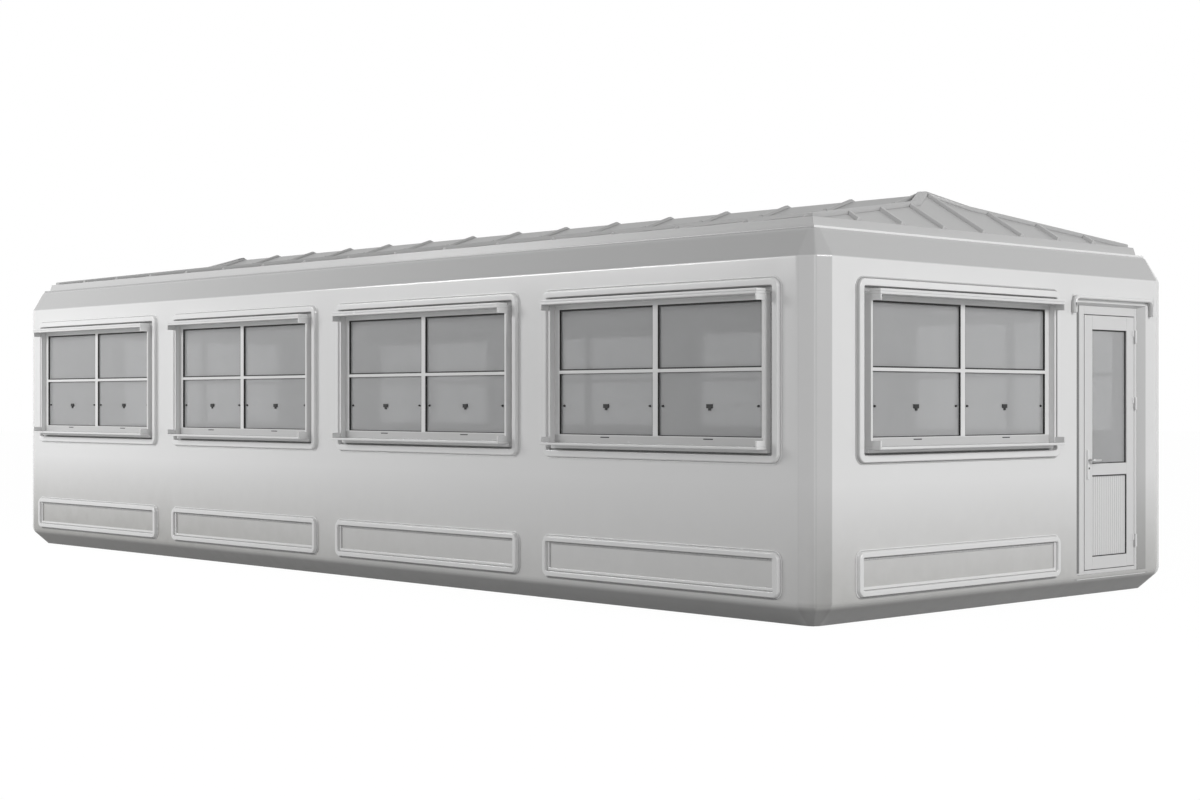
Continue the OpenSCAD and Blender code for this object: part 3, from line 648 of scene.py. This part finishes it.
sash_white = coated("sash_profile", (0.75, 0.75, 0.75), 0.26, 0.03, 0.0, 220.0, 0.03, 0.2)
sash_spot = add_node(sash_white.node_tree, "TexCoord").outputs["Object"]
sash_level = add_node(sash_white.node_tree, "SeparateXYZ", {"Vector": sash_spot}).outputs["Z"]
# Painted shade: the sash white is mixed darker below this height, on the bottom rail.
above_shaded_foot = add_node(
    sash_white.node_tree, "MapRange",
    {"Value": sash_level, "From Min": pane_z[0] - 0.009, "From Max": pane_z[0] + 0.003},
)
repaint(sash_white, above_shaded_foot.outputs["Result"], 0.53, 0.75)
bars = [sash_bars(0.001, 0.016), sash_bars(0.024, 0.05)]
finish_piece("sash_bars", at_each_window(bars), sash_white)

# Gaskets. A black rubber seal lines the rebate of every pane, thickest along the top.
def plain_rubber():
    material = bpy.data.materials.new("black_rubber")
    material.use_nodes = True
    tree = material.node_tree
    shader = tree.nodes["Principled BSDF"]
    spot = add_node(tree, "TexCoord").outputs["Object"]
    bloom = add_node(tree, "TexNoise", {"Vector": spot, "Scale": 60.0, "Detail": 4.0})
    ramp = add_node(tree, "ValToRGB", {"Fac": bloom.outputs["Fac"]})
    ramp.color_ramp.elements[0].color = (0.008, 0.008, 0.008, 1)
    ramp.color_ramp.elements[1].color = (0.022, 0.022, 0.022, 1)
    tree.links.new(ramp.outputs["Color"], shader.inputs["Base Color"])
    rough = add_node(tree, "MapRange", {"Value": bloom.outputs["Fac"], "To Min": 0.6, "To Max": 0.85})
    tree.links.new(rough.outputs["Result"], shader.inputs["Roughness"])
    return material


rubber = plain_rubber()
seals = []
for u0, u1 in ((-pane_half, -mullion_half), (mullion_half, pane_half)):
    for z0, z1 in ((pane_z[0], pane_z[1]), (pane_z[2], pane_z[3])):
        foot, top = (0.009, 0.011) if z1 == pane_z[3] else (0.005, 0.002)
        seals.append(ring(u0, u1, z0, z1, 0.003, 0.003, foot, top, 0.003, glass_front))
finish_piece("pane_gaskets", at_each_window(seals), rubber)

# Catches and drains. A black catch with a finger tab and two small stops sit on each lower pane, and a
# black strip on the bottom rail under it is painted shade for a drain slot.
catch_at = (pane_half + mullion_half) / 2
fittings = []
for at in (-catch_at, catch_at):
    catch = upright_sheet(at - 0.026, at + 0.026, 1.308, 1.334, 0.009)
    thicken(catch, glass_front - 0.009)
    soften(catch, 0.0015)
    fittings.append(catch)
    tab = upright_sheet(at - 0.009, at + 0.009, 1.294, 1.309, 0.0085)
    thicken(tab, glass_front - 0.0085)
    soften(tab, 0.001)
    fittings.append(tab)
    for side in (-0.41, 0.41):
        stop = bmesh.new()
        bmesh.ops.create_cone(stop, cap_ends=True, segments=16, radius1=0.008, radius2=0.006, depth=0.01)
        stop_place = Matrix.Translation((at + side, glass_front - 0.005, 1.322))
        stop_turn = Matrix.Rotation(math.pi / 2, 4, "X")
        bmesh.ops.transform(stop, matrix=stop_place @ stop_turn, verts=stop.verts)
        fittings.append(stop)
    # Painted shade: a black strip on the bottom rail stands for the drain slot's hollow.
    drain = upright_sheet(at - 0.042, at + 0.042, 1.112, 1.119, 0.0)
    thicken(drain, 0.004)
    soften(drain, 0.0015)
    fittings.append(drain)
finish_piece("sash_fittings", at_each_window(fittings), rubber)

# Window glass. Clear sheet with a faint grey tint and a little surface haze.
def tinted_glass(name, colour, clear):
    material = bpy.data.materials.new(name)
    material.use_nodes = True
    tree = material.node_tree
    shader = tree.nodes["Principled BSDF"]
    spot = add_node(tree, "TexCoord").outputs["Object"]
    haze = add_node(tree, "TexNoise", {"Vector": spot, "Scale": 2.2, "Detail": 5.0})
    tint = add_node(
        tree, "Mix",
        {"Factor": haze.outputs["Fac"], "A": (*colour, 1), "B": (*[c * 0.93 for c in colour], 1)},
        data_type="RGBA",
    )
    tree.links.new(tint.outputs["Result"], shader.inputs["Base Color"])
    film = add_node(tree, "MapRange", {"Value": haze.outputs["Fac"], "To Min": 0.02, "To Max": 0.07})
    tree.links.new(film.outputs["Result"], shader.inputs["Roughness"])
    shader.inputs["Transmission Weight"].default_value = clear
    shader.inputs["IOR"].default_value = 1.5
    return material


window_tint = tinted_glass("window_tint", (0.7, 0.705, 0.71), 0.6)
dress("window_glass", window_tint)

# Door frame, stops, threshold and hood. White hollow profile screwed into the doorway, a bevelled
# threshold moulded at its foot, a rain hood bead over it and a grey strip down the lock side, which is painted
# shade for the gap beside the jamb. The threshold's gel coat is painted lighter than the shell's: painted
# light.
door_white = coated("door_profile", (0.68, 0.68, 0.68), 0.32, 0.04, 0.1, 220.0, 0.03, 0.15)
for node in ("door_jambs", "door_head", "door_sill", "door_stops"):
    dress(node, door_white, 0.003)
# Painted light: the threshold's gel coat is lighter than the shell's.
lit_threshold_white = coated("lit_threshold_gel_coat", (0.84, 0.84, 0.84), 0.22, 0.03, 0.0, 140.0, 0.06, 0.35)
dress("door_threshold", lit_threshold_white, 0.003)
dress("door_hood", bead_white, 0.009, 5)
door_place = Matrix.Rotation(math.pi / 2, 4, "Z") @ Matrix.Translation((0, -half_l, 0))
# Painted shade: a grey strip down the lock-side jamb.
lock_side_shade_strip = upright_sheet(door_u0 + 0.0005, door_u0 + 0.025, 0.165, head_z - 0.001, 0.0375)
thicken(lock_side_shade_strip, 0.003)
soften(lock_side_shade_strip, 0.001)
lock_side_shade_strip.transform(door_place)
shade_strip_grey = flecked("shade_strip_grey", (0.24, 0.24, 0.24), (0.18, 0.18, 0.18), 160.0, 0.7)
finish_piece("lock_side_shade_strip", lock_side_shade_strip, shade_strip_grey)

# Door leaf. White profile stiles and rails hold a pane over a panel of grooved boards, both bedded in
# black gaskets. The grooves are coloured darker than the board faces.
for node in ("door_stiles", "door_rails"):
    dress(node, door_white, 0.003)
board_white = coated("panel_boards", (0.68, 0.68, 0.68), 0.32, 0.04, 0.1, 220.0, 0.03, 0.15)
board_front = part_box("door_panel")[1][0]
board_tree = board_white.node_tree
board_spot = add_node(board_tree, "TexCoord").outputs["Object"]
board_depth = add_node(board_tree, "SeparateXYZ", {"Vector": board_spot}).outputs["X"]
# The grooves are coloured darker than the board faces.
below_face = add_node(
    board_tree, "MapRange",
    {"Value": board_depth, "From Min": board_front - 0.0022, "From Max": board_front - 0.0003,
     "To Min": 1.0, "To Max": 0.0},
)
before_core = add_node(
    board_tree, "MapRange",
    {"Value": board_depth, "From Min": board_front - 0.0045, "From Max": board_front - 0.004},
)
in_groove = add_node(
    board_tree, "Math", {0: below_face.outputs["Result"], 1: before_core.outputs["Result"]},
    operation="MULTIPLY",
)
repaint(board_white, in_groove.outputs[0], 0.69, 0.4)
dress("door_panel", board_white)
dress("door_glass", window_tint)
leaf_seals = bmesh.new()
leaf_u0 = 1.033
leaf_u1 = 1.470
for z0, z1, depth in ((0.918, 1.853, 0.058), (0.271, 0.838, 0.052)):
    seal = ring(leaf_u0, leaf_u1, z0, z1, 0.003, 0.003, 0.006, 0.008, depth - 0.009, depth)
    put(leaf_seals, seal, door_place)
    seal.free()
finish_piece("leaf_gaskets", leaf_seals, rubber, body="door")

# Hinges, handle plates and lever. The hinges and plates are screwed on and coated white, with a black
# disc on the lock as painted shade for its keyway. The lever is a bent round bar of satin aluminium on each
# face, turning as one.
def satin_metal():
    material = bpy.data.materials.new("satin_aluminium")
    material.use_nodes = True
    tree = material.node_tree
    shader = tree.nodes["Principled BSDF"]
    spot = add_node(tree, "TexCoord").outputs["Object"]
    stretch = add_node(tree, "Mapping", {"Vector": spot, "Scale": (300.0, 300.0, 14.0)})
    brush = add_node(tree, "TexNoise", {"Vector": stretch.outputs["Vector"], "Scale": 4.0, "Detail": 3.0})
    ramp = add_node(tree, "ValToRGB", {"Fac": brush.outputs["Fac"]})
    ramp.color_ramp.elements[0].color = (0.42, 0.42, 0.42, 1)
    ramp.color_ramp.elements[1].color = (0.54, 0.54, 0.54, 1)
    tree.links.new(ramp.outputs["Color"], shader.inputs["Base Color"])
    rough = add_node(tree, "MapRange", {"Value": brush.outputs["Fac"], "To Min": 0.28, "To Max": 0.42})
    tree.links.new(rough.outputs["Result"], shader.inputs["Roughness"])
    shader.inputs["Metallic"].default_value = 1.0
    return material


fitting_white = coated("coated_fitting", (0.74, 0.74, 0.74), 0.34, 0.03, 0.0, 220.0, 0.03, 0.1)
for node in ("frame_hinges", "leaf_hinges"):
    dress(node, fitting_white, 0.001)
dress("handle_plates", fitting_white, 0.0015)
outer_face_x = 4.9183
inner_face_x = 4.8577
handle_y = 0.976
handle_z = 0.945
key_drop = 0.057
lever_r = 0.008
lever_straight = 0.0257
lever_bend = 0.016
lever_grip = 0.07


def bent_lever():
    bm = bmesh.new()
    bmesh.ops.create_circle(bm, cap_ends=True, segments=24, radius=lever_r)
    neck = bmesh.ops.extrude_edge_only(bm, edges=bm.edges[:])["geom"]
    raised = [item for item in neck if isinstance(item, bmesh.types.BMVert)]
    bmesh.ops.translate(bm, vec=(0, 0, lever_straight), verts=raised)
    rim = [edge for edge in bm.edges if edge.is_boundary]
    elbow = (lever_bend, 0, lever_straight)
    bmesh.ops.spin(bm, geom=raised + rim, cent=elbow, axis=(0, 1, 0), angle=math.pi / 2, steps=8)
    rim = [edge for edge in bm.edges if edge.is_boundary]
    grip = bmesh.ops.extrude_edge_only(bm, edges=rim)["geom"]
    drawn_out = [item for item in grip if isinstance(item, bmesh.types.BMVert)]
    bmesh.ops.translate(bm, vec=(lever_grip, 0, 0), verts=drawn_out)
    rim = [edge for edge in bm.edges if edge.is_boundary]
    bmesh.ops.edgeloop_fill(bm, edges=rim)
    bmesh.ops.bevel(bm, geom=rim, offset=0.005, segments=4, profile=0.5, affect="EDGES", material=-1)
    return bm


outer_plate = Matrix(((0, 0, 1, outer_face_x), (1, 0, 0, handle_y), (0, 1, 0, handle_z), (0, 0, 0, 1)))
inner_plate = Matrix(((0, 0, -1, inner_face_x), (1, 0, 0, handle_y), (0, -1, 0, handle_z), (0, 0, 0, 1)))
levers = bmesh.new()
keyways = bmesh.new()
for plate, key_at in ((outer_plate, -key_drop), (inner_plate, key_drop)):
    lever = bent_lever()
    put(levers, lever, plate)
    lever.free()
    # Painted shade: a black disc stands for the keyway's hollow.
    keyway = bmesh.new()
    bmesh.ops.create_cone(keyway, cap_ends=True, segments=20, radius1=0.0075, radius2=0.0065, depth=0.002)
    bmesh.ops.translate(keyway, vec=(0, key_at, 0.0038), verts=keyway.verts)
    put(keyways, keyway, plate)
    keyway.free()
grips = finish_piece("lever_grips", levers, satin_metal(), body="lever")
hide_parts("door_levers")
finish_piece("lock_keyways", keyways, rubber, body="door")

# Studio. A pale floor and a white surround that camera, glossy and transmitted rays see as white, with
# three large soft lamps.
def sees_backdrop(tree):
    rays = add_node(tree, "LightPath").outputs
    direct = add_node(tree, "Math", {0: rays["Is Camera Ray"], 1: rays["Is Glossy Ray"]}, operation="MAXIMUM")
    through = rays["Is Transmission Ray"]
    return add_node(tree, "Math", {0: direct.outputs[0], 1: through}, operation="MAXIMUM").outputs[0]


world = bpy.data.worlds.new("studio")
bpy.context.scene.world = world
world.use_nodes = True
world_tree = world.node_tree
backdrop = world_tree.nodes["Background"]
strength = add_node(world_tree, "MapRange", {"Value": sees_backdrop(world_tree), "To Min": 0.27, "To Max": 1.0})
backdrop.inputs["Color"].default_value = (1, 1, 1, 1)
world_tree.links.new(strength.outputs["Result"], backdrop.inputs["Strength"])

floor_look = bpy.data.materials.new("studio_floor")
floor_look.use_nodes = True
floor_tree = floor_look.node_tree
floor_shader = floor_tree.nodes["Principled BSDF"]
floor_shader.inputs["Base Color"].default_value = (0.48, 0.48, 0.48, 1)
floor_shader.inputs["Roughness"].default_value = 0.9
glow = add_node(floor_tree, "Emission", {"Color": (1, 1, 1, 1), "Strength": 1.05})
veil = add_node(floor_tree, "Math", {0: sees_backdrop(floor_tree), 1: 0.93}, operation="MULTIPLY")
mixed = add_node(floor_tree, "MixShader", {0: veil.outputs[0], 1: floor_shader.outputs[0], 2: glow.outputs[0]})
floor_tree.links.new(mixed.outputs[0], floor_tree.nodes["Material Output"].inputs["Surface"])
floor_bm = bmesh.new()
bmesh.ops.create_circle(floor_bm, cap_ends=True, segments=96, radius=80.0)
floor_mesh = bpy.data.meshes.new("studio_floor")
floor_bm.to_mesh(floor_mesh)
floor_bm.free()
floor_mesh.materials.append(floor_look)
studio_floor = bpy.data.objects.new("studio_floor", floor_mesh)
bpy.context.scene.collection.objects.link(studio_floor)


def soft_lamp(name, place, aim, size, power):
    lamp = bpy.data.lights.new(name, "AREA")
    lamp.shape = "RECTANGLE"
    lamp.size = size[0]
    lamp.size_y = size[1]
    lamp.energy = power
    holder = bpy.data.objects.new(name, lamp)
    holder.location = place
    holder.rotation_euler = (Vector(aim) - Vector(place)).to_track_quat("-Z", "Y").to_euler()
    bpy.context.scene.collection.objects.link(holder)


soft_lamp("right_softbox", (27, 1.5, 11), (4.95, 0, 1.2), (12, 7), 3380)
soft_lamp("left_softbox", (-6.8, -10, 5.4), (-1.5, -1.95, 1.2), (6, 3.5), 695)
soft_lamp("front_softbox", (14.5, -12.5, 6), (4.5, -1.5, 1.2), (6, 5), 265)

camera = bpy.data.cameras.new("photo_camera")
camera.sensor_fit = "HORIZONTAL"
camera.sensor_width = 36.0
camera.lens = 58.73
camera.shift_y = 0.002
camera_holder = bpy.data.objects.new("photo_camera", camera)
camera_holder.location = (12.496, -10.774, 1.345)
camera_holder.rotation_euler = (math.pi / 2, 0, math.radians(46.84))
bpy.context.scene.collection.objects.link(camera_holder)
bpy.context.scene.camera = camera_holder
bpy.context.scene.view_settings.view_transform = "Standard"

bpy.context.view_layer.update()
